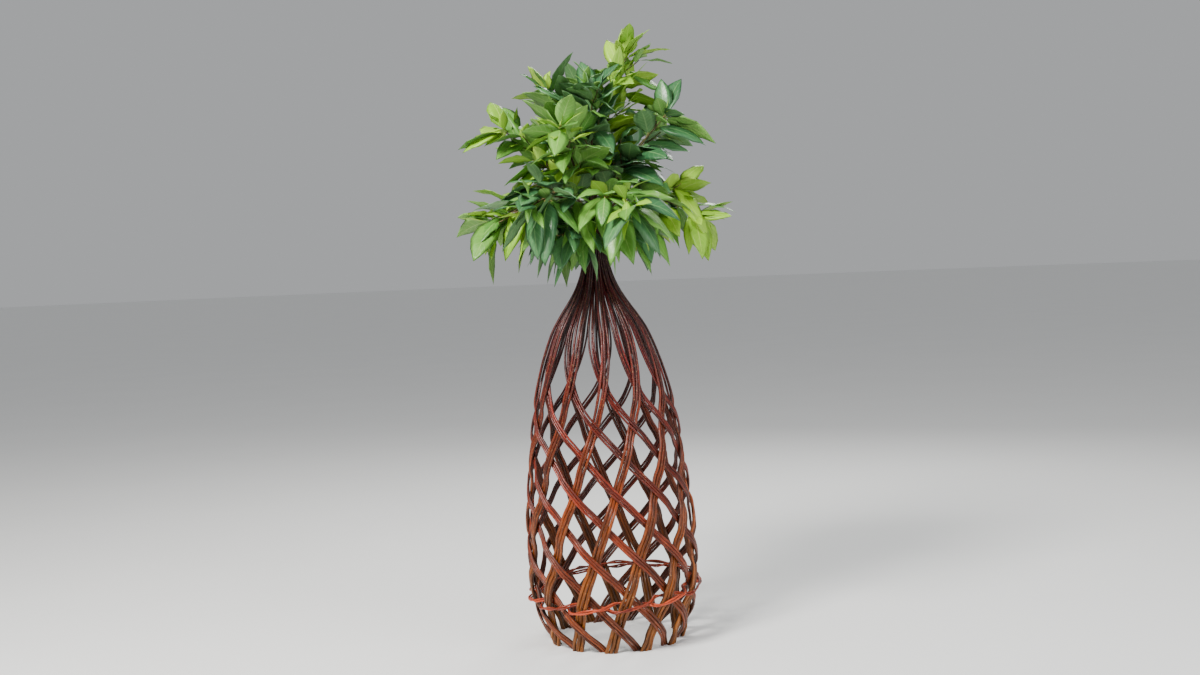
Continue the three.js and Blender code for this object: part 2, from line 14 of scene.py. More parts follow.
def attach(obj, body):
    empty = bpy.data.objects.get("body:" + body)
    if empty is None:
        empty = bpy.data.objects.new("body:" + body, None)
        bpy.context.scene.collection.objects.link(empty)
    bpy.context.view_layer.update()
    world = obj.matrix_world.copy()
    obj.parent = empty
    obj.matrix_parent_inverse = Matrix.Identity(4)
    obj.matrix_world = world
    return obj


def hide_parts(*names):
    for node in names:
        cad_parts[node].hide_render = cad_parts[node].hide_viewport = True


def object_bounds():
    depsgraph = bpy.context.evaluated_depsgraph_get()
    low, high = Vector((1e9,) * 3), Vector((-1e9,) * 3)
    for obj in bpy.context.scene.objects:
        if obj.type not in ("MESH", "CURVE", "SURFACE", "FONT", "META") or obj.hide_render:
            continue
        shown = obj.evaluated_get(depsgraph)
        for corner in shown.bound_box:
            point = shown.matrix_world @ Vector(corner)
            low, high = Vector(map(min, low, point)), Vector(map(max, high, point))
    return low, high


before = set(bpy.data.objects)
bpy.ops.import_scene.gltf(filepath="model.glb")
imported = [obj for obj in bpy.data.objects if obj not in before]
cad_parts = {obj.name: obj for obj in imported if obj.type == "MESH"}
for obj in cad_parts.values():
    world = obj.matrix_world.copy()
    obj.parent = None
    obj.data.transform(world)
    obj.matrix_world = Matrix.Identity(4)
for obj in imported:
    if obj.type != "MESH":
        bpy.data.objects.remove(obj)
cad_low, cad_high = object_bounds()
print("Frame:", len(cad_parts), "nodes,", tuple(round(v, 3) for v in cad_high - cad_low), "m")

# %% [markdown]
# The same few sizes draw the braid here and in the CAD source, so the dressed tree can't drift
# away from its solids. Twelve stems lean to the right and twelve to the left. A table of heights
# and radii outlines the trunk, which swells low down and closes at a neck.

# %% Sizes of the braid
STEMS = 12
STEM_PITCH = 360 / STEMS
NECK_TOP = 1270
LEAN = 1.0
FIRST_ROW_HEIGHT = 187
ROW_STEP = 103
ROW_ANGLE = 9.4
EASE_HEIGHT = 720
LAST_ROW = 6.5
TRUNK_RADIUS = [
    (0, 203), (110, 247), (286, 265), (583, 243), (782, 212),
    (980, 150), (1118, 66), (1200, 37.5), (1270, 33.2),
]
RIGHT = {"name": "stem_right", "turn": 8.5, "side": 1, "foot_rod": 13, "neck_rod": 6.2}
LEFT = {"name": "stem_left", "turn": -21.5, "side": -1, "foot_rod": 9.6, "neck_rod": 5.2}
WEAVE_GAP_FOOT = 3.2
WEAVE_GAP_NECK = 1.2
WEAVE_SHARPNESS = 2.2
WORLD_UP = Vector((0, 0, 1))

# %% [markdown]
# The braid follows a few curves, each a function of the height, so that any rod can ask for any
# point. Seeded dice give rods and leaves their small differences, the same on every run.

# %% Curves that the braid follows


def mix(low, high, share):
    return low + (high - low) * share


def clamp(value, low, high):
    return max(low, min(high, value))


def make_dice(seed):
    state = seed

    def roll(low, high):
        nonlocal state
        state = state * 16807 % 2147483647
        return mix(low, high, state / 2147483647)

    return roll


def warm_dice(seed):
    """Dice for what only this scene shows; the first rolls of a small seed are all alike."""
    dice = make_dice(seed)
    for _ in range(3):
        dice(0, 1)
    return dice


def smooth(table, height):
    """A smooth curve through a table of height and value."""
    last = len(table) - 1

    def slope(i):
        before, after = table[max(i - 1, 0)], table[min(i + 1, last)]
        return (after[1] - before[1]) / (after[0] - before[0])

    i = 0
    while i < last - 1 and height > table[i + 1][0]:
        i += 1
    span = table[i + 1][0] - table[i][0]
    t = clamp((height - table[i][0]) / span, 0, 1)
    bend = t * t * (3 - 2 * t)
    pull = slope(i) * t * (1 - t) * (1 - t) - slope(i + 1) * t * t * (1 - t)
    return mix(table[i][1], table[i + 1][1], bend) + span * pull


EASE_ROW = (EASE_HEIGHT - FIRST_ROW_HEIGHT) / ROW_STEP
EASE_LENGTH = 2 * ROW_STEP * (LAST_ROW - EASE_ROW)


def row_at(height):
    """Rows of crossings passed at a height: even up the lattice, easing to none at the neck."""
    past = clamp(height - EASE_HEIGHT, 0, EASE_LENGTH)
    even = min(height, EASE_HEIGHT) - FIRST_ROW_HEIGHT
    return (even + past - past * past / (2 * EASE_LENGTH)) / ROW_STEP


def rod_at(family, height):
    return mix(family["foot_rod"], family["neck_rod"], height / NECK_TOP)


def weave_offset(height):
    """Half the distance between the middles of two stems that cross."""
    rods = (rod_at(RIGHT, height) + rod_at(LEFT, height)) / 2
    return (rods + mix(WEAVE_GAP_FOOT, WEAVE_GAP_NECK, height / NECK_TOP)) / 2


def weave_at(row):
    """1 where the right-leaning stem is outside, -1 where the left-leaning one is."""
    phase = math.pi * min(row, LAST_ROW - 0.5)
    return math.tanh(WEAVE_SHARPNESS * math.cos(phase)) / math.tanh(WEAVE_SHARPNESS)


def stem_angle(family, number, height):
    return ROW_ANGLE + number * STEM_PITCH + family["turn"] * row_at(height)


def outward(angle):
    """Unit vector away from the trunk's axis; angle 0 faces the viewer and grows to the right."""
    return Vector((math.sin(math.radians(angle)), -math.cos(math.radians(angle)), 0))


# The origin is at the foot of the first stem, which lies outside in the weave there
FOOT_RADIUS = TRUNK_RADIUS[0][1] + weave_offset(0)
TRUNK_FOOT = outward(stem_angle(RIGHT, 0, 0)) * -FOOT_RADIUS


def trunk_axis(height):
    return Vector((TRUNK_FOOT.x - math.tan(math.radians(LEAN)) * height, TRUNK_FOOT.y, height))


print("Trunk axis at the ground:", tuple(round(v, 1) for v in trunk_axis(0)), "mm")

# %% [markdown]
# The camera stands where the photo was taken from, a little under chest height and about four
# and a half metres off, so the foot shows from above and the crown from below. A small roll
# gives the tilt of the verticals.

# %% Camera
CAMERA_PLACE = Vector((0.005, -4.361, 1.2))
CAMERA_AIM = Vector((0.005, 0.209, 0.965))
CAMERA_ROLL = -2.3
CAMERA_LENS = 43
SENSOR_WIDTH = 36


def add_object(name, data):
    thing = bpy.data.objects.new(name, data)
    bpy.context.scene.collection.objects.link(thing)
    return thing


camera_data = bpy.data.cameras.new("garden_view")
camera_data.lens = CAMERA_LENS
camera_data.sensor_width = SENSOR_WIDTH
camera_data.clip_end = 100
camera = add_object("garden_view", camera_data)
camera.location = CAMERA_PLACE
looking = (CAMERA_AIM - CAMERA_PLACE).to_track_quat("-Z", "Y")
camera.rotation_euler = (looking @ Quaternion((0, 0, 1), math.radians(CAMERA_ROLL))).to_euler()
bpy.context.scene.camera = camera
print("Camera distance:", round((CAMERA_AIM - CAMERA_PLACE).length, 2), "m")

# %% [markdown]
# Rods are long tapered cylinders that bend where the weave lifts them. A curve object with a
# bevel can't cut its end flat on the ground, so a flat grid is rolled round a list of stations,
# each a middle, its directions and a radius. The texture coordinates run once round the tube
# and along it in metres, and the whole number in the first one tells one rod from the next.

# %% Tubes rolled from a grid
MILLIMETRE = 0.001
UV_EDGE = 0.02
WELD = 0.001


def frame_at(path, i, out):
    """One station of a path: its point, the way ahead, the way out square to it, and the side."""
    ahead = (path[min(i + 1, len(path) - 1)] - path[max(i - 1, 0)]).normalized()
    out = (out - ahead * out.dot(ahead)).normalized()
    return path[i], ahead, out, ahead.cross(out)


def across_uv(place):
    """A place from -1 to 1 as a texture coordinate from 0 to 1, kept a little off both ends."""
    return UV_EDGE + (place + 1) / 2 * (1 - 2 * UV_EDGE)


def roll_tube(bm, frames, radii, sides, label, cut_foot=False):
    """Rolls a flat grid round the frames; both ends close in a point at their middle."""
    frames = [frames[0]] + frames + [frames[-1]]
    radii = [0] + radii + [0]
    last = len(frames) - 1
    metres = [0.0]
    for before, after in zip(frames, frames[1:]):
        metres.append(metres[-1] + (after[0] - before[0]).length * MILLIMETRE)
    uv_layer = bm.loops.layers.uv.verify()
    corners = bmesh.ops.create_grid(bm, x_segments=sides, y_segments=last, size=1)["verts"]
    faces = {face for corner in corners for face in corner.link_faces}
    for face in faces:
        face.smooth = True
        for loop in face.loops:
            station = round((loop.vert.co.y + 1) / 2 * last)
            loop[uv_layer].uv = (label + across_uv(loop.vert.co.x), metres[station])
    for corner in corners:
        station = round((corner.co.y + 1) / 2 * last)
        turn = math.pi * corner.co.x
        point, ahead, out, side = frames[station]
        spot = point + (side * math.sin(turn) + out * math.cos(turn)) * radii[station]
        if cut_foot and station < 2:
            spot -= ahead * (spot.z / ahead.z)
        corner.co = spot
    bmesh.ops.remove_doubles(bm, verts=corners, dist=WELD)


def finish_mesh(bm, name, materials=()):
    mesh = bpy.data.meshes.new(name)
    bm.to_mesh(mesh)
    bm.free()
    for material in materials:
        mesh.materials.append(material)
    return mesh


def to_piece(bm, name, materials, nodes):
    """Brings a finished mesh to metres, adds it to the scene and says what it stands for."""
    bmesh.ops.scale(bm, vec=[MILLIMETRE] * 3, verts=bm.verts)
    piece = add_object(name, finish_mesh(bm, name, materials))
    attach(piece, "root")
    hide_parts(*nodes)
    triangles = sum(len(face.vertices) - 2 for face in piece.data.polygons)
    print(name, "has", triangles, "triangles and stands for", len(nodes), "nodes")
    return piece


def nodes_named(start):
    return sorted(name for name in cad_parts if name.startswith(start))


# %% [markdown]
# Willow bark is smooth and satin, with fine streaks along the rod and small pale pores. Its
# colour is read from the height, from ochre brown at the foot to a dark maroon at the neck. The
# streaks follow the rods, so they are noise stretched along the texture coordinates. Five kinds
# of bark need them, so they are one group.

# %% A small kit for materials


def add_node(tree, kind, values=None, **settings):
    node = tree.nodes.new(kind)
    for name, value in settings.items():
        setattr(node, name, value)
    for socket, value in (values or {}).items():
        node.inputs[socket].default_value = value
    return node


def compute(tree, operation, *parts):
    """A Math node whose inputs are numbers or the outputs of other nodes."""
    node = add_node(tree, "ShaderNodeMath", operation=operation)
    for socket, part in zip(node.inputs, parts):
        if isinstance(part, (int, float)):
            socket.default_value = part
        else:
            tree.links.new(part, socket)
    return node.outputs[0]


def ramp(tree, value, low, high, bottom=0.0, top=1.0):
    """A smooth step from bottom to top as the value goes from low to high."""
    limits = {"From Min": low, "From Max": high, "To Min": bottom, "To Max": top}
    node = add_node(tree, "ShaderNodeMapRange", limits, interpolation_type="SMOOTHSTEP")
    tree.links.new(value, node.inputs["Value"])
    return node.outputs[0]


def blend_colours(tree, share, first, second, blend="MIX"):
    """A Mix node; its colours go in at sockets 6 and 7 and come out at socket 2."""
    node = add_node(tree, "ShaderNodeMix", data_type="RGBA", blend_type=blend)
    for socket, part in ((node.inputs[0], share), (node.inputs[6], first), (node.inputs[7], second)):
        if isinstance(part, (int, float)):
            socket.default_value = part
        elif isinstance(part, tuple):
            socket.default_value = (*part, 1)
        else:
            tree.links.new(part, socket)
    return node.outputs[2]


def from_middle(tree, value):
    return compute(tree, "ABSOLUTE", compute(tree, "SUBTRACT", value, 0.5))


def new_group(name, amount, results):
    """A group that reads texture coordinates and one amount, and gives a number for each result."""
    group = bpy.data.node_groups.new(name, "ShaderNodeTree")
    sockets = [("Coordinates", "INPUT", "NodeSocketVector"), (amount, "INPUT", "NodeSocketFloat")]
    sockets += [(result, "OUTPUT", "NodeSocketFloat") for result in results]
    for label, way, kind in sockets:
        group.interface.new_socket(name=label, in_out=way, socket_type=kind)
    return group, group.nodes.new("NodeGroupInput"), group.nodes.new("NodeGroupOutput")


def read_coordinates(group, start):
    """The places across and along a rod or leaf, its number, and a random tint of its own."""
    split = add_node(group, "ShaderNodeSeparateXYZ")
    group.links.new(start.outputs[0], split.inputs[0])
    number = compute(group, "FLOOR", split.outputs[0])
    own = add_node(group, "ShaderNodeTexWhiteNoise", noise_dimensions="1D")
    group.links.new(number, own.inputs["W"])
    return compute(group, "FRACT", split.outputs[0]), split.outputs[1], number, own.outputs["Value"]


def link_results(group, results, end):
    for result, socket in zip(results, end.inputs):
        group.links.new(result, socket)


def new_material(name, roughness):
    material = bpy.data.materials.new(name)
    material.use_nodes = True
    shader = material.node_tree.nodes["Principled BSDF"]
    shader.inputs["Roughness"].default_value = roughness
    return material, material.node_tree, shader


def new_finish(name, roughness, sheen, group, amount):
    material, tree, shader = new_material(name, roughness)
    shader.inputs["Specular IOR Level"].default_value = sheen
    place = add_node(tree, "ShaderNodeTexCoord").outputs
    masks = add_node(tree, "ShaderNodeGroup", {1: amount}, node_tree=group)
    tree.links.new(place["UV"], masks.inputs[0])
    return material, tree, shader, place, masks.outputs


def add_bump(tree, shader, height, strength, distance):
    bump = add_node(tree, "ShaderNodeBump", {"Strength": strength, "Distance": distance})
    tree.links.new(height, bump.inputs["Height"])
    tree.links.new(bump.outputs[0], shader.inputs["Normal"])


# %% Bark streaks
# Steps of noise across a rod, its steps along a metre, and its detail
FINE_STREAKS = (9, 26, 4)
BROAD_STREAKS = (2.2, 7, 2)
PORES = (14, 150, 0)
ROD_TO_ROD = 7.31
FINE_SHARE = 0.62
STREAK_LIMITS = (0.34, 0.66)
PORE_LIMITS = (0.70, 0.78)
PORE_RELIEF = 0.6
# Where the painted shade on a rod's sides starts and where it is full
PAINTED_SHADE_LIMITS = (0.13, 0.27)


def make_bark_streaks():
    names = ("Streaks", "Pores", "Own Tint", "Relief", "Painted Shade")
    group, start, end = new_group("bark_streaks_and_painted_shade", "Fineness", names)
    around, along, number, own_tint = read_coordinates(group, start)

    def drawn_out(steps_across, steps_along, detail):
        """Noise stretched along the rod, different on each rod."""
        spot = add_node(group, "ShaderNodeCombineXYZ")
        parts = ((around, steps_across), (along, steps_along), (number, ROD_TO_ROD))
        for socket, (value, steps) in zip(spot.inputs, parts):
            group.links.new(compute(group, "MULTIPLY", value, steps), socket)
        noise = add_node(group, "ShaderNodeTexNoise", {"Scale": 1.0, "Detail": detail})
        group.links.new(spot.outputs[0], noise.inputs["Vector"])
        return noise.outputs[0]

    fine, pores = drawn_out(*FINE_STREAKS), drawn_out(*PORES)
    broad = compute(group, "MULTIPLY", drawn_out(*BROAD_STREAKS), 1 - FINE_SHARE)
    streaks = compute(group, "ADD", compute(group, "MULTIPLY", fine, FINE_SHARE), broad)
    sharpened = compute(group, "POWER", ramp(group, streaks, *STREAK_LIMITS), start.outputs[1])
    relief = compute(group, "ADD", fine, compute(group, "MULTIPLY", pores, PORE_RELIEF))
    # Painted shade: a mask over the sides of each rod that face its neighbours and over its inner side
    painted_shade_mask = ramp(group, from_middle(group, around), *PAINTED_SHADE_LIMITS)
    link_results(group, (sharpened, ramp(group, pores, *PORE_LIMITS), own_tint, relief, painted_shade_mask), end)
    return group


bark_streaks_and_painted_shade = make_bark_streaks()

# %% [markdown]
# The group gives masks, and each bark turns them into colours. Its dark and light streaks have
# a ramp of colours each up the tree. The sides of a rod that face its neighbours, and its inner
# side, are darker: painted shade between the rods and inside the trunk.

# %% Bark
BARK_SHEEN = 0.3
FINENESS = 1.2
TINT_LIMITS = (0.62, 1.34)
PORE_SHARE = 0.32
# Painted shade: how dark the sides and inner side of a rod become
PAINTED_SHADE_FACTOR = 0.42
BARK_BUMP = 0.0012


def make_bark(name, heights, dark, light, pore_colour, roughness, relief, top_height):
    material, tree, shader, place, streaks = new_finish(name, roughness, BARK_SHEEN, bark_streaks_and_painted_shade, FINENESS)
    height = add_node(tree, "ShaderNodeSeparateXYZ")
    tree.links.new(place["Object"], height.inputs[0])
    share = compute(tree, "DIVIDE", height.outputs[2], top_height)

    def colours_up(colours):
        node = add_node(tree, "ShaderNodeValToRGB")
        elements = node.color_ramp.elements
        while len(elements) < len(heights):
            elements.new(0.5)
        for element, position, colour in zip(elements, heights, colours):
            element.position = position
            element.color = (*colour, 1)
        tree.links.new(share, node.inputs[0])
        return node.outputs[0]

    streaked = blend_colours(tree, streaks["Streaks"], colours_up(dark), colours_up(light))
    tint = ramp(tree, streaks["Own Tint"], 0, 1, *TINT_LIMITS)
    tinted = blend_colours(tree, 1.0, streaked, tint, "MULTIPLY")
    pores = compute(tree, "MULTIPLY", streaks["Pores"], PORE_SHARE)
    dotted = blend_colours(tree, pores, tinted, pore_colour)
    # Painted shade between rods and inside the trunk, multiplied into the bark colour
    shade = ramp(tree, streaks["Painted Shade"], 0, 1, 1.0, PAINTED_SHADE_FACTOR)
    tree.links.new(blend_colours(tree, 1.0, dotted, shade, "MULTIPLY"), shader.inputs["Base Color"])
    rough = ramp(tree, streaks["Streaks"], 0, 1, roughness + 0.1, roughness - 0.07)
    tree.links.new(rough, shader.inputs["Roughness"])
    add_bump(tree, shader, streaks["Relief"], relief, BARK_BUMP)
    return material


# %% Bark of the stems, the binding, the head and the boughs
STEM_HEIGHTS = (0, 0.35, 0.66, 0.9, 1)
# Shares of the height, dark and light colours there, pores, roughness, relief, and top in metres
BARKS = {
    "right_leaning_bark": (
        STEM_HEIGHTS,
        [(0.066, 0.018, 0.004), (0.058, 0.011, 0.003), (0.03, 0.004, 0.003), (0.01, 0.002, 0.003),
         (0.008, 0.002, 0.003)],
        [(0.33, 0.105, 0.01), (0.29, 0.054, 0.009), (0.16, 0.017, 0.009), (0.05, 0.008, 0.011),
         (0.036, 0.007, 0.01)],
        (0.52, 0.3, 0.12), 0.36, 0.35, 1.3,
    ),
    "left_leaning_bark": (
        STEM_HEIGHTS,
        [(0.056, 0.011, 0.003), (0.052, 0.006, 0.003), (0.03, 0.003, 0.003), (0.01, 0.002, 0.003),
         (0.008, 0.002, 0.003)],
        [(0.25, 0.054, 0.01), (0.25, 0.029, 0.009), (0.16, 0.013, 0.009), (0.05, 0.007, 0.011),
         (0.036, 0.006, 0.01)],
        (0.55, 0.26, 0.14), 0.33, 0.3, 1.3,
    ),
    "binding_bark": (
        (0, 1), [(0.15, 0.011, 0.004), (0.14, 0.011, 0.004)], [(0.52, 0.062, 0.016), (0.48, 0.07, 0.02)],
        (0.62, 0.32, 0.16), 0.36, 0.3, 0.3,
    ),
    "head_bark": (
        (0.88, 1), [(0.03, 0.009, 0.01), (0.052, 0.03, 0.016)], [(0.1, 0.03, 0.03), (0.19, 0.12, 0.062)],
        (0.3, 0.2, 0.12), 0.5, 0.4, 1.42,
    ),
    "bough_bark": (
        (0, 0.8, 1), [(0.085, 0.045, 0.02), (0.1, 0.062, 0.024), (0.12, 0.12, 0.03)],
        [(0.25, 0.15, 0.066), (0.27, 0.19, 0.075), (0.33, 0.36, 0.09)],
        (0.45, 0.36, 0.2), 0.5, 0.4, 1.8,
    ),
}
right_bark, left_bark, binding_bark, head_bark, bough_bark = [
    make_bark(name, *looks) for name, looks in BARKS.items()
]
print("Barks:", list(BARKS))

# %% [markdown]
# Each stem is three rods grown side by side. Where two stems cross, one lies outside and one
# inside, and they change places at the next row. The CAD stem is one solid with three lobes.
# Here each rod is a tube, because the dark lines between rods and the sheen along each are what
# the eye sees. A point of a rod is set across its stem and is then lifted out or in by where it
# meets the middle of the crossing stem.

# %% Courses of the rods
RODS_PER_STEM = 3
ROD_SIDES = 12
ROD_STEP = 10
ROD_SPACING = [
    (0, 0.985), (560, 0.99), (760, 1.08), (960, 1.24), (1080, 1.16), (1180, 1.0), (1440, 0.97),
]
HEAD_RADIUS = [(1270, 0), (1330, -6.5), (1420, -14)]
LOOSENESS = [(0, 0.3), (600, 0.4), (950, 1.6), (1150, 0.5), (1440, 0.3)]
# A wave is a share and the height of one radian; a knot is a share, a spacing and a breadth
THICKNESS_DICE = (0.94, 1.03)
BREADTH_WAVE = (0.02, 61)
LOOSE_WAVE = 47
SWELL_WAVE = (0.03, 29)
KNOT = (0.07, 83, 0.09)
HEAD_THINNING = (0.86, 140)


def trunk_slope(height):
    return (smooth(TRUNK_RADIUS, height + 1) - smooth(TRUNK_RADIUS, height - 1)) / 2


def rod_point(family, number, height, across):
    """A point on the middle line of a rod, and the direction out of the trunk there."""
    radius = smooth(TRUNK_RADIUS, height)
    slant = math.hypot(1, trunk_slope(height))
    turned = math.radians(family["turn"] * (row_at(height + 1) - row_at(height - 1)) / 2)
    lean = math.atan2(radius * turned, slant)
    angle = stem_angle(family, number, height) + math.degrees(across * math.cos(lean) / radius)
    own_height = height - across * math.sin(lean) / slant
    row = row_at(own_height)
    other = LEFT if family is RIGHT else RIGHT
    met = (angle - ROW_ANGLE - other["turn"] * row) / STEM_PITCH
    crossing = (met - number) * family["side"]
    lift = family["side"] * weave_offset(own_height) * weave_at(crossing)
    away = outward(angle)
    reach = smooth(TRUNK_RADIUS, own_height) + lift
    gathered = smooth(HEAD_RADIUS, own_height) if own_height > NECK_TOP else 0
    normal = (away - WORLD_UP * trunk_slope(own_height)).normalized()
    return trunk_axis(own_height) + away * (reach + gathered), normal


def rod_course(family, number, place, top):
    """Stations of one rod from the ground to its cut top, with its small own bends."""
    first_label = STEMS * RODS_PER_STEM if family is LEFT else 0
    label = first_label + STEMS * place + number
    dice = warm_dice(501 + 37 * label)
    phases = [dice(0, 2 * math.pi) for _ in range(4)]
    thick = dice(*THICKNESS_DICE)
    foot_lean = math.atan2(math.radians(family["turn"]) * TRUNK_RADIUS[0][1], ROW_STEP)
    shift = (place - 1) * smooth(ROD_SPACING, 0)
    height = shift * family["foot_rod"] * math.sin(foot_lean)
    path, normals, radii = [], [], []
    while height < top + ROD_STEP / 2:
        shift = (place - 1) * smooth(ROD_SPACING, height)
        breadth = 1 + BREADTH_WAVE[0] * math.sin(height / BREADTH_WAVE[1] + phases[0])
        across = shift * rod_at(family, height) * breadth
        across += smooth(LOOSENESS, height) * math.sin(height / LOOSE_WAVE + phases[1])
        point, normal = rod_point(family, number, height, across)
        path.append(point)
        normals.append(normal)
        swell = 1 + SWELL_WAVE[0] * math.sin(height / SWELL_WAVE[1] + phases[2])
        knot = KNOT[0] * math.exp(-(((height / KNOT[1] + phases[3]) % 1 - 0.5) / KNOT[2]) ** 2)
        thin = mix(1, HEAD_THINNING[0], clamp((height - NECK_TOP) / HEAD_THINNING[1], 0, 1))
        radii.append(rod_at(family, height) / 2 * thick * (swell + knot) * thin)
        height += ROD_STEP
    return [frame_at(path, i, normal) for i, normal in enumerate(normals)], radii, label


# %% Braided stems
SHARP_ANGLE = math.radians(50)
RIGHT_TOPS = (1328, 1372)
LEFT_TOPS = (1352, 1404)
head_rods = []
for family, bark in ((RIGHT, right_bark), (LEFT, left_bark)):
    bm = bmesh.new()
    for number in range(STEMS):
        for place in range(RODS_PER_STEM):
            dice = warm_dice(911 + 53 * number + 7 * place + family["side"])
            top = dice(*(RIGHT_TOPS if family is RIGHT else LEFT_TOPS))
            frames, radii, label = rod_course(family, number, place, top)
            neck = next(i for i, station in enumerate(frames) if station[0].z > NECK_TOP)
            roll_tube(bm, frames[:neck + 1], radii[:neck + 1], ROD_SIDES, label, cut_foot=True)
            head_rods.append((frames[neck:], radii[neck:], label))
    braid = to_piece(bm, "rods" + family["name"][4:], [bark], nodes_named(family["name"]))
    braid.data.set_sharp_from_angle(angle=SHARP_ANGLE)

# %% [markdown]
# The rods meet in a head, a tight bundle of cut ends at uneven heights, so each rod simply goes
# on to its own cut. A spun dark core closes the hollow between them.

# %% Crown head
CORE_PROFILE = [(1272, 20), (1330, 19.5), (1380, 16), (1396, 11), (1402, 0)]
CORE_MIDDLE = 1330
CORE_STEPS = 14
CORE_WELD = 0.02

bm = bmesh.new()
for frames, radii, label in head_rods:
    roll_tube(bm, frames, radii, ROD_SIDES, label)
core = [bm.verts.new(trunk_axis(CORE_PROFILE[0][0]))]
core += [bm.verts.new(trunk_axis(height) + outward(0) * radius) for height, radius in CORE_PROFILE]
core_edges = [bm.edges.new(pair) for pair in zip(core, core[1:])]
bmesh.ops.spin(
    bm, geom=core + core_edges, cent=trunk_axis(CORE_MIDDLE), axis=(0, 0, 1), dvec=(0, 0, 0),
    angle=2 * math.pi, steps=CORE_STEPS, use_merge=True, use_duplicate=False,
)
bmesh.ops.remove_doubles(bm, verts=bm.verts, dist=CORE_WELD)
bmesh.ops.recalc_face_normals(bm, faces=bm.faces)
head = to_piece(bm, "head_of_rods", [head_bark], ["crown_head"])
head.data.set_sharp_from_angle(angle=SHARP_ANGLE)

# %% [markdown]
# A young braided tree is tied low down by thin rods twined round it. Two weavers of two rods
# each pass outside one pair of crossing stems and inside the next. A weaver dips where it is
# outside, and its two rods cross as they go. Each rod is a closed ring.

# %% Binding
BINDING_HEIGHT = 165
BINDING_TILT_RIGHT = 0.06
BINDING_TILT_BACK = 0.05
BINDING_SWING = 7.2
BINDING_STEEPNESS = 1.6
BINDING_DIP = 5
BINDING_WRAP = 0.9
BINDING_SPARE_OUT = 0.95
BINDING_SPARE_IN = 3.6
BINDING_THICKNESS = 7
BINDING_RODS = [(0, -3.3, 0.96), (0, 3.4, 1.0), (180, -3.4, 1.0), (180, 3.3, 0.95)]
BINDING_RADIUS = 3.25
BINDING_SWELL = (0.05, 7)
BINDING_SWAY = (0.5, 5)
BINDING_STATIONS = 288
BINDING_SIDES = 10


def binding_point(around, phase, up):
    both_turns = RIGHT["turn"] + LEFT["turn"]
    pair_angle = ROW_ANGLE + both_turns / 2 * row_at(BINDING_HEIGHT)
    twist = math.radians(around * STEMS / 2 + phase)
    swing = math.sin(clamp(BINDING_STEEPNESS * math.cos(twist), -1, 1) * math.pi / 2)
    away = outward(around + pair_angle)
    tilt = away.x * BINDING_TILT_RIGHT + away.y * BINDING_TILT_BACK
    height = BINDING_HEIGHT + tilt * smooth(TRUNK_RADIUS, BINDING_HEIGHT)
    height += BINDING_SWING * math.sin(twist)
    height -= BINDING_DIP * swing
    family = RIGHT if swing > 0 else LEFT
    spare = BINDING_SPARE_OUT if swing > 0 else BINDING_SPARE_IN
    clear = weave_offset(height) + rod_at(family, height) / 2 + BINDING_THICKNESS / 2 + spare
    wound = math.radians(around * STEMS + phase)
    push = abs(up) * BINDING_WRAP * (1 + math.copysign(math.sin(wound), up))
    reach = smooth(TRUNK_RADIUS, height) + swing * clear + push
    return trunk_axis(height) + away * reach + WORLD_UP * (up * math.cos(wound))


bm = bmesh.new()
for label, (phase, up, thick) in enumerate(BINDING_RODS):
    dice = warm_dice(77 + label)
    wobble = [dice(0, 6.3), dice(0, 6.3)]
    path = []
    for station in range(BINDING_STATIONS):
        around = 360 * station / BINDING_STATIONS
        sway = BINDING_SWAY[0] * math.sin(math.radians(BINDING_SWAY[1] * around) + wobble[0])
        path.append(binding_point(around, phase, up + sway))
    frames, radii = [], []
    for station, point in enumerate(path):
        ahead = (path[(station + 1) % BINDING_STATIONS] - path[station - 1]).normalized()
        out = ahead.cross(WORLD_UP).normalized()
        frames.append((point, ahead, out, ahead.cross(out)))
        swell = 1 + BINDING_SWELL[0] * math.sin(station / BINDING_SWELL[1] + wobble[1])
        radii.append(BINDING_RADIUS * thick * swell)
    roll_tube(bm, frames + [frames[0]], radii + [radii[0]], BINDING_SIDES, label)
to_piece(bm, "binding_rods", [binding_bark], ["binding_rod_a", "binding_rod_b"])

# %% [markdown]
# The crown is grown by the same rule as in the CAD source. Shoots leave the head in tiers, rise,
# bend over and end in sprays. Their seeded dice roll in the same order here, so every limb lies
# on its solid. The first third of a shoot is the bough; the rest carries side twigs and leaves.

# %% Shoots
BOUGH_SHARE = 0.3
TIER_NAMES = "name count turn start bend tip foot end leaves leaf droop seed".split()
TIERS = [dict(zip(TIER_NAMES, row)) for row in (
    ("low", 6, 30, (12, 1312), (165, 1462), (330, 1356), 5.4, 2.2, 8, 184, 0.5, 41),
    ("mid", 5, -80, (11, 1352), (105, 1512), (270, 1626), 5.2, 2.2, 8, 180, 0.32, 88),
    ("top", 4, -75, (9, 1392), (38, 1570), (118, 1728), 4.8, 2.1, 7, 168, 0.12, 23),
    ("inner", 3, -16, (24, 1296), (85, 1345), (140, 1312), 3.6, 2.1, 6, 156, 0.62, 59),
)]
LEADER = {"tier": "top", "index": 2, "lift": 142, "reach": 14}
SWAY = 26
TIP_SWAY = 1.6
AZIMUTH_SWAY = 7


def curve_point(ends, share):
    start, bend, tip = ends
    return start * (1 - share) ** 2 + bend * (2 * share * (1 - share)) + tip * share ** 2


def curve_ahead(ends, share):
    start, bend, tip = ends
    return ((bend - start) * (1 - share) + (tip - bend) * share).normalized()


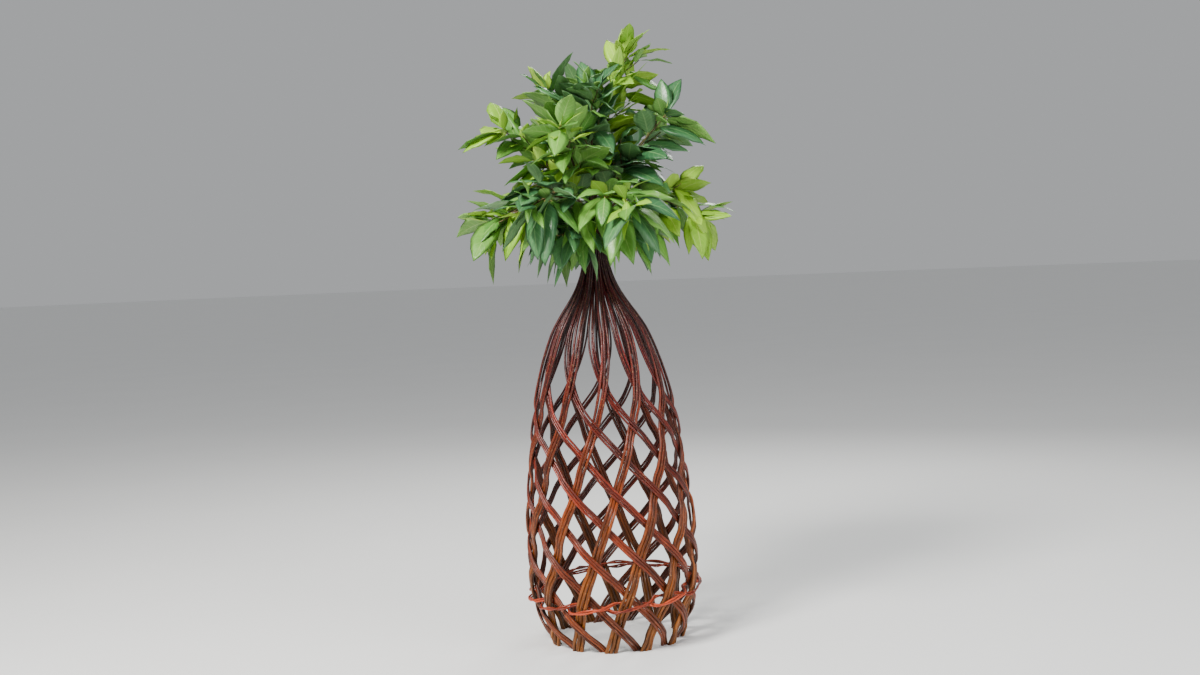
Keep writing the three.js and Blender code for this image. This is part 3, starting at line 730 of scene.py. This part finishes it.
def plan_shoot(tier, index):
    dice = make_dice(tier["seed"] + 97 * (index + 1))
    azimuth = tier["turn"] + 360 * index / tier["count"] + dice(-AZIMUTH_SWAY, AZIMUTH_SWAY)
    is_leader = tier["name"] == LEADER["tier"] and index == LEADER["index"]
    lift, reach = (LEADER["lift"], LEADER["reach"]) if is_leader else (0, 0)
    away, sideways = outward(azimuth), outward(azimuth + 90)

    def place(spot, sway, rise):
        return trunk_axis(spot[1]) + away * spot[0] + sideways * sway + WORLD_UP * rise

    start = place(tier["start"], 0, 0)
    bend = place(tier["bend"], dice(-SWAY, SWAY), dice(-SWAY, SWAY) / 2 + lift / 2)
    tip_spot = (tier["tip"][0] + reach, tier["tip"][1])
    tip = place(tip_spot, dice(-SWAY, SWAY) * TIP_SWAY, dice(-SWAY, SWAY) + lift)
    return {"tier": tier, "index": index, "dice": dice, "ends": (start, bend, tip), "leader": is_leader}


shoots = [plan_shoot(tier, index) for tier in TIERS for index in range(tier["count"])]
print("Shoots:", len(shoots))

# %% Boughs
TWIG_START = Vector((0.31, 0.27, 0.91))
SCARS_ALONG = 11
SCAR_BREADTH = 0.13
LIMB_TO_LIMB = 0.37
BOUGH_SWELL = 1.12
BOUGH_GRID = (12, 26)
BOUGH_KNOTS = 0.09


def add_limb(bm, ends, span, radii, grid, label, knots):
    """A tapered limb along part of a curve, swollen a little at its leaf scars."""
    sides, stations = grid
    shares = [mix(*span, i / (stations - 1)) for i in range(stations)]
    path = [curve_point(ends, share) for share in shares]
    frames, sizes, out = [], [], TWIG_START
    for i, share in enumerate(shares):
        frames.append(frame_at(path, i, out))
        out = frames[-1][2]
        scar = math.exp(-(((share * SCARS_ALONG + label * LIMB_TO_LIMB) % 1 - 0.5) / SCAR_BREADTH) ** 2)
        sizes.append(mix(*radii, i / (stations - 1)) * (1 + knots * (2 * scar - 0.4)))
    roll_tube(bm, frames, sizes, sides, label)


def radius_at(tier, share):
    return mix(tier["foot"], tier["end"], share)


bm = bmesh.new()
for number, shoot in enumerate(shoots):
    tier = shoot["tier"]
    if tier["name"] != "inner":
        sizes = (radius_at(tier, 0) * BOUGH_SWELL, radius_at(tier, BOUGH_SHARE))
        add_limb(bm, shoot["ends"], (0, BOUGH_SHARE + 0.01), sizes, BOUGH_GRID, number, BOUGH_KNOTS)
to_piece(bm, "boughs", [bough_bark], nodes_named("bough_"))

# %% [markdown]
# A willow leaf is long, with a pointed tip that curls back, a fold along its pale midrib and
# slightly wavy edges. Hundreds are needed, so one template of four by eight faces is bent into
# each place. A turned copy, a little lower and joined at the rim, is the paler underside.

# %% Leaf template
LEAF_COLUMNS = 4
LEAF_STATIONS = [0, 0.07, 0.16, 0.3, 0.46, 0.62, 0.78, 0.91, 1]
LEAF_OUTLINE = list(zip(LEAF_STATIONS, [0.03, 0.05, 0.52, 0.9, 1.0, 0.92, 0.66, 0.28, 0.0]))
NARROW_OUTLINE = list(zip(LEAF_STATIONS, [0.03, 0.06, 0.36, 0.74, 1.0, 0.95, 0.62, 0.25, 0.0]))
LEAF_THICKNESS = 0.6


def make_leaf_template():
    """Local x runs -1 to 1 across the leaf, y 0 to 1 along it, and z is -1 on the underside."""
    bm = bmesh.new()
    uv_layer = bm.loops.layers.uv.verify()
    rows = len(LEAF_STATIONS) - 1
    made = bmesh.ops.create_grid(bm, x_segments=LEAF_COLUMNS, y_segments=rows, size=1)
    for corner in made["verts"]:
        corner.co.y = LEAF_STATIONS[round((corner.co.y + 1) / 2 * rows)]
    copied = bmesh.ops.duplicate(bm, geom=bm.verts[:] + bm.edges[:] + bm.faces[:])["geom"]
    under_faces = [part for part in copied if isinstance(part, bmesh.types.BMFace)]
    bmesh.ops.reverse_faces(bm, faces=under_faces)
    for face in under_faces:
        face.material_index = 1
    for part in copied:
        if isinstance(part, bmesh.types.BMVert) and abs(part.co.x) < 0.9 and 0 < part.co.y < 1:
            part.co.z = -1
    bmesh.ops.remove_doubles(bm, verts=bm.verts, dist=WELD)
    for face in bm.faces:
        face.smooth = True
        for loop in face.loops:
            loop[uv_layer].uv = (across_uv(loop.vert.co.x), loop.vert.co.y)
    return finish_mesh(bm, "leaf_template")


leaf_template = make_leaf_template()
print("One leaf has", len(leaf_template.polygons), "faces")

# %% Leaves bent into place
LEAF_WIDTH_SHARE = 0.45
LEAF_WIDEST = 0.46
RIPPLE = 0.11
SIDE_PHASE = 0.17


def leaf_level(ahead, roll):
    """The direction across a leaf: level, then rolled about the leaf's own length."""
    level = ahead.cross(WORLD_UP)
    if level.length < 0.1:
        level = Vector((1, 0, 0))
    return Quaternion(ahead, math.radians(roll)) @ level.normalized()


def add_leaf(bm, leaf):
    """Adds the template to the mesh and bends it along the leaf's own curve."""
    root, ahead, length, droop = leaf["root"], leaf["ahead"], leaf["length"], leaf["droop"]
    level = leaf["level"]
    face_up = level.cross(ahead).normalized()
    half_width = length * leaf["width"] / 2
    first_vertex, first_face = len(bm.verts), len(bm.faces)
    bm.from_mesh(leaf_template)
    bm.verts.ensure_lookup_table()
    bm.faces.ensure_lookup_table()
    for corner in bm.verts[first_vertex:]:
        across, along, under = corner.co
        wide = half_width * smooth(leaf["outline"], along)
        out = abs(across)
        rise = wide * (leaf["fold"] * (2 * out - out * out) - leaf["cup"] * out * out)
        side = 1 if across > 0 else -1
        ripple = math.sin(2 * math.pi * (leaf["waves"] * along + leaf["phase"] + side * SIDE_PHASE))
        rise += wide * RIPPLE * out * ripple
        rise -= length * leaf["curl"] * along ** 3
        sway = length * leaf["bend"] * along * along
        spot = root + ahead * (length * along) - WORLD_UP * (droop * length * along * along)
        spot += level * (across * wide + sway) + face_up * (rise + under * LEAF_THICKNESS)
        corner.co = spot
    uv_layer = bm.loops.layers.uv.verify()
    for face in bm.faces[first_face:]:
        for loop in face.loops:
            loop[uv_layer].uv.x += leaf["label"]


# %% [markdown]
# A leaf must stay in its own spray's space, off the trunk and above the lowest leaves of the
# real crown. If it doesn't fit it is turned and shortened, and at last left out, as in the CAD.

# %% Where a leaf may go
LEAF_TRIES = [
    (0, 1), (30, 0.96), (-30, 0.96), (60, 0.9), (-60, 0.9), (95, 0.84), (-95, 0.84), (0, 0.7), (180, 0.7),
]
SMALLEST_LEAF = 80
CROWN_FLOOR = 1078
OWN_SPACE = 1.18
FINE_SPACE = 1.7
TRUNK_CLEAR = 12
HEAD_TOP = 1420
HEAD_REACH = 45
FORWARD = 0.62
LEADER_FORWARD = 2.3
LEADER_WIDTH = 0.8
ROLL = 42
ROOT_SUNK = 0.2
SHOOT_MARKS = 9
BOX_SPARE = 0.016

shoot_marks = [
    [curve_point(shoot["ends"], mix(BOUGH_SHARE, 1, i / (SHOOT_MARKS - 1))) for i in range(SHOOT_MARKS)]
    for shoot in shoots
]


def is_own_space(place, number, share):
    own = min((mark - place).length for mark in shoot_marks[number])
    return all(
        other == number or own < share * min((mark - place).length for mark in marks)
        for other, marks in enumerate(shoot_marks)
    )


def is_clear_of_trunk(place):
    axis = trunk_axis(place.z)
    away = math.hypot(place.x - axis.x, place.y - axis.y)
    if place.z > NECK_TOP:
        return place.z > HEAD_TOP + TRUNK_CLEAR or away > HEAD_REACH
    return away > smooth(TRUNK_RADIUS, place.z) + weave_offset(place.z) + TRUNK_CLEAR


def is_in_box(place):
    spot = place * MILLIMETRE
    return all(cad_low[i] - BOX_SPARE < spot[i] < cad_high[i] + BOX_SPARE for i in range(3))


def fits(places, number, share=OWN_SPACE):
    return all(
        place.z > CROWN_FLOOR and is_clear_of_trunk(place) and is_in_box(place)
        and is_own_space(place, number, share)
        for place in places
    )


# %% Leaves set along a twig
GOLDEN_TURN = 137.5
HANG_DICE = (0, 1.1)
SAG_DICE = (0.7, 1.25)
SIZE_ALONG = (1.05, 0.8)
SIZE_DICE = (0.9, 1.1)
LAST_OPENING = 0.72
WIDTH_DICE = {"grown": (0.92, 1.12), "filling": (0.9, 1.1), "young": (0.7, 0.95), "bud": (0.6, 0.85)}
SHAPE_DICE = {
    "fold": (0.08, 0.36), "cup": (0, 0.35), "curl": (0.0, 0.2),
    "bend": (-0.07, 0.07), "waves": (1.6, 3), "phase": (0, 1),
}
leaves = []
style_dice = warm_dice(4242)


def place_leaf(number, twig, root, ahead, out, length, droop, roll, kind):
    is_narrow = kind in ("young", "bud")
    is_upright = is_narrow and shoots[number]["leader"]
    for turn, share in LEAF_TRIES:
        size = max(length * share, SMALLEST_LEAF) if kind == "grown" else length * share
        turned = Quaternion(ahead, math.radians(turn)) @ out
        course = (ahead * (LEADER_FORWARD if is_upright else FORWARD) + turned).normalized()
        foot = root - course * (ROOT_SUNK * twig)
        level = leaf_level(course, roll)
        width = LEAF_WIDTH_SHARE * style_dice(*WIDTH_DICE[kind]) * (LEADER_WIDTH if is_upright else 1)
        middle = foot + course * (size * LEAF_WIDEST) - WORLD_UP * (droop * size * LEAF_WIDEST ** 2)
        tip = foot + course * size - WORLD_UP * (droop * size)
        edge = level * (size * width / 2)
        space = OWN_SPACE if kind == "grown" else FINE_SPACE
        if fits([middle, tip, middle + edge, middle - edge], number, space):
            leaf = {name: style_dice(*limits) for name, limits in SHAPE_DICE.items()}
            leaf.update(
                spray=number, kind=kind, root=foot, ahead=course, level=level, length=size, droop=droop,
                width=width, outline=NARROW_OUTLINE if is_narrow else LEAF_OUTLINE, label=len(leaves),
            )
            leaves.append(leaf)
            return


def leaves_along(number, ends, span, count, radii, length, droop, dice, kind="grown"):
    """Leaves set one by one round part of a curve, each a golden turn on from the last."""
    first_turn = dice(0, 360)
    for i in range(count):
        done = i / max(count - 1, 1)
        share = mix(*span, done)
        ahead = curve_ahead(ends, share)
        level = ahead.cross(WORLD_UP).normalized()
        out = Quaternion(ahead, math.radians(first_turn + GOLDEN_TURN * i)) @ level
        grown = length * mix(*SIZE_ALONG, done) * dice(*SIZE_DICE)
        open_share = mix(1, LAST_OPENING, done)
        course = (out * open_share + ahead * (1 - open_share)).normalized()
        twig = mix(*radii, done)
        sag = droop * dice(*SAG_DICE) * style_dice(*HANG_DICE)
        roll = dice(-ROLL, ROLL)
        place_leaf(number, twig, curve_point(ends, share), ahead, course, grown, sag, roll, kind)


# %% [markdown]
# A spray is first grown as in the CAD: leaves along the shoot, two side twigs and three leaves
# at the end. Then comes what the solids leave out: leafy twigs near the head, short young ones
# further out and small leaves at the tip. The leader has long upright ones there instead.

# %% Sprays
FIRST_LEAF = 0.1
FIRST_INNER = 0.3
LAST_LEAF = 0.97
SIDE_TWIGS = [0.22, 0.52]
SIDE_SHAPE = (50, 92)
SIDE_TAPER = 0.8
SIDE_SPAN = (0.5, 0.96)
SIDE_LEAF = 0.86
END_SPAN = (0.96, 0.99)
END_LEAF = 0.9
END_DROOP = 0.8
TWIG_SIZE_DICE = (0.8, 1.15)
TWIG_BEND = 0.35
TWIG_TIP = (0.8, 0.6)
twigs = []


def add_twig(number, share, turn, dice, spread, size, radii, space=OWN_SPACE):
    """A side twig with a spread in degrees, kept only if its tip stays in its spray's space."""
    ends = shoots[number]["ends"]
    root, ahead = curve_point(ends, share), curve_ahead(ends, share)
    level = ahead.cross(WORLD_UP).normalized()
    out = Quaternion(ahead, math.radians(turn + dice(-spread, spread))) @ level
    length = size * dice(*TWIG_SIZE_DICE)
    bend = root + ahead * (length * TWIG_BEND) + out * (length * TWIG_BEND)
    tip = root + ahead * (length * TWIG_TIP[0]) + out * (length * TWIG_TIP[1])
    if not fits([tip], number, space):
        return None
    twigs.append(((root, bend, tip), (0, 1), radii))
    return root, bend, tip


for number, shoot in enumerate(shoots):
    tier, ends, dice = shoot["tier"], shoot["ends"], shoot["dice"]
    leaf, droop, end = tier["leaf"], tier["droop"], tier["end"]
    is_inner = tier["name"] == "inner"
    start = 0 if is_inner else BOUGH_SHARE
    radii = (radius_at(tier, start), end)
    twigs.append((ends, (start, 1), radii))
    span = (mix(start, 1, FIRST_INNER if is_inner else FIRST_LEAF), LAST_LEAF)
    leaves_along(number, ends, span, tier["leaves"], radii, leaf, droop, dice)
    sizes = (end, end * SIDE_TAPER)
    for i, share in enumerate([] if is_inner else SIDE_TWIGS):
        twig = add_twig(number, mix(start, 1, share), 180 * i, dice, *SIDE_SHAPE, sizes)
        if twig:
            leaves_along(number, twig, SIDE_SPAN, 2, sizes, leaf * SIDE_LEAF, droop, dice)
    leaves_along(number, ends, END_SPAN, 3, (end, end), leaf * END_LEAF, droop * END_DROOP, dice)

# %% Finer growth
INNER_START = 0.2
FILLING_TWIGS = {
    "low": [0.25, 0.34, 0.6], "mid": [0.2, 0.27, 0.34, 0.48],
    "top": [0.26, 0.33, 0.42, 0.54, 0.72, 0.86], "inner": [0.3, 0.6, 0.85],
}
YOUNG_TWIGS = [0.3, 0.62, 0.84]
# A twig's droop is a share of its tier's, and a little more
FINE_TWIGS = {
    "filling": {
        "turn": 150, "first": 40, "twig": (40, 84, (1.9, 1.4)), "leaf": (0.74, 0.9),
        "droop": (1, 0.16), "span": (0.3, 0.98), "count": 4, "radii": (1.9, 1.5),
    },
    "young": {
        "turn": 137, "first": 60, "twig": (60, 56, (1.5, 1.0)), "leaf": (84, 120),
        "droop": (0.5, 0), "span": (0.45, 0.98), "count": 3, "radii": (1.4, 1.1),
    },
}
TIP_LEAF = {"low": (110, 136), "mid": (80, 110), "top": (62, 92), "inner": (62, 92)}
TIP_DROOP = 0.3
TIP_GROWTH = ((0.975, 1), 4)
LEADER_GROWTH = ((0.62, 0.93), 6)
LEADER_LEAF = 168

for number, shoot in enumerate(shoots):
    tier = shoot["tier"]
    dice = warm_dice(3000 + 71 * number)
    start = INNER_START if tier["name"] == "inner" else BOUGH_SHARE
    places = {
        "filling": FILLING_TWIGS[tier["name"]],
        "young": [mix(start, 1, share) for share in YOUNG_TWIGS],
    }
    for kind, style in FINE_TWIGS.items():
        leaf = tier["leaf"] if kind == "filling" else 1
        droop = tier["droop"] * style["droop"][0] + style["droop"][1]
        for i, share in enumerate(places[kind]):
            turn = style["turn"] * i + style["first"]
            twig = add_twig(number, share, turn, dice, *style["twig"], FINE_SPACE)
            if twig:
                length = leaf * dice(*style["leaf"])
                count, radii = style["count"], style["radii"]
                leaves_along(number, twig, style["span"], count, radii, length, droop, dice, kind)
    tip_leaf = dice(*TIP_LEAF[tier["name"]])
    length = LEADER_LEAF if shoot["leader"] else tip_leaf
    span, count = LEADER_GROWTH if shoot["leader"] else TIP_GROWTH
    leaves_along(number, shoot["ends"], span, count, (2, 2), length, tier["droop"] * TIP_DROOP, dice, "bud")
print("Leaves:", len(leaves), "twigs:", len(twigs))

# %% [markdown]
# Twigs are thinner boughs. A bud is a small ball drawn out towards a tip, at the foot of every
# other leaf.

# %% Twigs and buds
TWIG_GRID = (8, 9)
LONG_GRID = (8, 30)
LONG_TWIG = 130
TWIG_KNOTS = 0.1
GROWN_BUD = 4.2
SMALL_BUD = 2.8
BUD_TAPER = 0.45
BUD_WIDTH = 0.42

bm = bmesh.new()
for label, (ends, span, radii) in enumerate(twigs):
    grid = LONG_GRID if (ends[2] - ends[0]).length > LONG_TWIG else TWIG_GRID
    add_limb(bm, ends, span, radii, grid, label, TWIG_KNOTS)
for leaf in leaves[::2]:
    size = GROWN_BUD if leaf["kind"] == "grown" else SMALL_BUD
    bud = bmesh.ops.create_icosphere(bm, subdivisions=1, radius=1)["verts"]
    lift = (leaf["level"].cross(leaf["ahead"]) * 0.5 + leaf["ahead"] * 0.6).normalized()
    across = lift.cross(leaf["level"]).normalized()
    middle = leaf["root"] + lift * size * 0.9
    for corner in bud:
        long, wide, flat = corner.co.z, corner.co.x, corner.co.y
        thin = (1 - BUD_TAPER * long) * size * BUD_WIDTH
        corner.co = middle + lift * (long * size) + (leaf["level"] * wide + across * flat) * thin
for face in bm.faces:
    face.smooth = True
mass_nodes = nodes_named("leaves_")
to_piece(bm, "twigs_and_buds", [bough_bark], mass_nodes)

# %% [markdown]
# Young leaves are yellow-green and grown ones are a deeper, greyer green, so there are three
# greens. The grey-blue cast of their top colours is partly their own colour and partly painted
# sky reflection. All have the same pale midrib and side veins, which one shared group draws by
# arithmetic on the leaf's texture coordinates.

# %% Leaf veins
MIDRIB_ROOT = 0.03
MIDRIB_EDGE = 0.012
VEIN_LEAN = 0.42
VEIN_LIMITS = (0.05, 0.16)
VEIN_RELIEF = 0.6
STALK_LIMITS = (0.06, 0.1)


def make_leaf_veins():
    names = ("Midrib", "Side Veins", "Own Tint", "Stalk", "Relief")
    group, start, end = new_group("leaf_veins", "Pairs", names)
    place, along, _, own_tint = read_coordinates(group, start)
    across = from_middle(group, place)
    thin = compute(group, "MULTIPLY_ADD", along, -MIDRIB_EDGE, MIDRIB_ROOT)
    from_rib = compute(group, "SUBTRACT", across, thin)
    midrib = ramp(group, from_rib, -MIDRIB_EDGE, MIDRIB_EDGE, 1.0, 0.0)
    leaning = compute(group, "SUBTRACT", along, compute(group, "MULTIPLY", across, VEIN_LEAN))
    phase = compute(group, "FRACT", compute(group, "MULTIPLY", leaning, start.outputs[1]))
    side_veins = ramp(group, from_middle(group, phase), *VEIN_LIMITS, 1.0, 0.0)
    stalk = ramp(group, along, *STALK_LIMITS, 1.0, 0.0)
    relief = compute(group, "MAXIMUM", midrib, compute(group, "MULTIPLY", side_veins, VEIN_RELIEF))
    link_results(group, (midrib, side_veins, own_tint, stalk, relief), end)
    return group


leaf_veins = make_leaf_veins()

# %% Leaf finishes
LEAF_SHEEN = 0.48
VEIN_PAIRS = 9.0
MOTTLE_SCALE = 34.0
OWN_TINT_SHARE = 0.6
MOTTLE_SHARE = 0.5
MIDRIB_SHARE = 0.7
LEAF_BUMP = 0.0009
STALK = (0.42, 0.36, 0.09)
# The grey-blue in the top colours is partly the leaves' own colour and partly painted sky reflection
# Deep and light colour of the blade, colour of the veins, roughness, and how far side veins show
LEAF_LOOKS = {
    "deep_leaf_top": ((0.023, 0.098, 0.036), (0.072, 0.215, 0.066), (0.17, 0.34, 0.12), 0.36, 0.16),
    "deep_leaf_under": ((0.070, 0.180, 0.062), (0.120, 0.260, 0.084), (0.22, 0.37, 0.14), 0.6, 0.26),
    "middle_leaf_top": ((0.066, 0.210, 0.030), (0.150, 0.370, 0.046), (0.28, 0.48, 0.11), 0.37, 0.16),
    "middle_leaf_under": ((0.105, 0.260, 0.044), (0.180, 0.375, 0.062), (0.30, 0.47, 0.13), 0.6, 0.26),
    "young_leaf_top": ((0.180, 0.400, 0.018), (0.320, 0.570, 0.028), (0.45, 0.65, 0.10), 0.4, 0.14),
    "young_leaf_under": ((0.200, 0.395, 0.032), (0.320, 0.530, 0.046), (0.44, 0.60, 0.12), 0.6, 0.22),
}


def make_leaf_finish(name, deep, light, vein, roughness, vein_share):
    material, tree, shader, place, veins = new_finish(name, roughness, LEAF_SHEEN, leaf_veins, VEIN_PAIRS)
    mottle = add_node(tree, "ShaderNodeTexNoise", {"Scale": MOTTLE_SCALE, "Detail": 3.0})
    tree.links.new(place["Object"], mottle.inputs["Vector"])
    mottled = compute(tree, "MULTIPLY", mottle.outputs[0], MOTTLE_SHARE)
    share = compute(tree, "ADD", compute(tree, "MULTIPLY", veins["Own Tint"], OWN_TINT_SHARE), mottled)
    blade = blend_colours(tree, ramp(tree, share, 0.1, 0.95), deep, light)
    side_share = compute(tree, "MULTIPLY", veins["Side Veins"], vein_share)
    veined = blend_colours(tree, side_share, blade, vein)
    ribbed = blend_colours(tree, compute(tree, "MULTIPLY", veins["Midrib"], MIDRIB_SHARE), veined, vein)
    tree.links.new(blend_colours(tree, veins["Stalk"], ribbed, STALK), shader.inputs["Base Color"])
    rough = ramp(tree, mottle.outputs[0], 0.3, 0.7, roughness - 0.06, roughness + 0.08)
    tree.links.new(rough, shader.inputs["Roughness"])
    add_bump(tree, shader, veins["Relief"], 0.35, LEAF_BUMP)
    return material


GREENS = {}
for name, looks in LEAF_LOOKS.items():
    GREENS.setdefault(name.split("_")[0], []).append(make_leaf_finish(name, *looks))
print("Leaf finishes:", list(LEAF_LOOKS))

# %% [markdown]
# Each spray has one green. Its young growth is a step lighter, and some other leaves are a step
# lighter or darker, so no spray looks painted.

# %% Leaves dealt out to the greens
SPRAY_GREENS = {
    "low": ["middle", "young", "deep", "deep", "young", "deep"],
    "mid": ["young", "middle", "deep", "deep", "middle"],
    "top": ["middle", "deep", "young", "deep"],
    "inner": ["deep", "middle", "deep"],
}
LIGHTER = {"deep": "middle", "middle": "young", "young": "young"}
DARKER = {"deep": "deep", "middle": "deep", "young": "middle"}
STEP_LIGHTER_BUDS = 0.4
DARKER_LEAVES = 0.36
LIGHTER_LEAVES = 0.12


def green_of(leaf):
    shoot = shoots[leaf["spray"]]
    green = SPRAY_GREENS[shoot["tier"]["name"]][shoot["index"]]
    chance = warm_dice(17 + leaf["label"] * 13)(0, 1)
    if leaf["kind"] == "bud" and chance >= STEP_LIGHTER_BUDS:
        return "young"
    if leaf["kind"] in ("young", "bud") or chance > 1 - LIGHTER_LEAVES:
        return LIGHTER[green]
    return DARKER[green] if chance < DARKER_LEAVES else green


for green, finishes in GREENS.items():
    bm = bmesh.new()
    dealt = [leaf for leaf in leaves if green_of(leaf) == green]
    for leaf in dealt:
        add_leaf(bm, leaf)
    print(green, "leaves:", len(dealt))
    to_piece(bm, "leaves_" + green + "_green", finishes, mass_nodes)

# %% [markdown]
# A pale rough floor and soft light hide nothing. A broad light stands for the bright sky over
# the viewer's shoulder, and two weaker ones lift the shaded side.

# %% Floor
material, tree, shader = new_material("pale_floor", 0.9)
place = add_node(tree, "ShaderNodeTexCoord")
grain = add_node(tree, "ShaderNodeTexNoise", {"Scale": 1.3, "Detail": 3.0})
tree.links.new(place.outputs["Object"], grain.inputs["Vector"])
speckled = blend_colours(tree, grain.outputs[0], (0.86, 0.86, 0.85), (0.90, 0.90, 0.89))
tree.links.new(speckled, shader.inputs["Base Color"])
bm = bmesh.new()
bmesh.ops.create_circle(bm, cap_ends=True, segments=96, radius=90)
floor = add_object("floor", finish_mesh(bm, "floor", [material]))

# %% Lights
# Place, aim, size in metres, power in watts, and colour
LIGHTS = {
    "key_light": ((-2.2, -2.6, 4.2), (0, 0.2, 1.0), 1.6, 470, (1.0, 0.98, 0.94)),
    "fill_light": ((3.4, -2.2, 2.2), (0, 0.2, 1.0), 2.6, 90, (0.93, 0.97, 1.0)),
    "back_light": ((1.2, 3.6, 3.4), (0, 0.2, 1.2), 2.0, 90, (1.0, 1.0, 0.97)),
}
SKY_COLOUR = (0.86, 0.88, 0.90, 1)
SKY_STRENGTH = 0.48

for name, (place, aim, size, power, colour) in LIGHTS.items():
    data = bpy.data.lights.new(name, "AREA")
    data.shape, data.size, data.energy, data.color = "DISK", size, power, colour
    light = add_object(name, data)
    light.location = place
    light.rotation_euler = (Vector(aim) - Vector(place)).to_track_quat("-Z", "Y").to_euler()
world = bpy.data.worlds.new("pale_sky")
world.use_nodes = True
background = world.node_tree.nodes["Background"]
background.inputs["Color"].default_value = SKY_COLOUR
background.inputs["Strength"].default_value = SKY_STRENGTH
bpy.context.scene.world = world
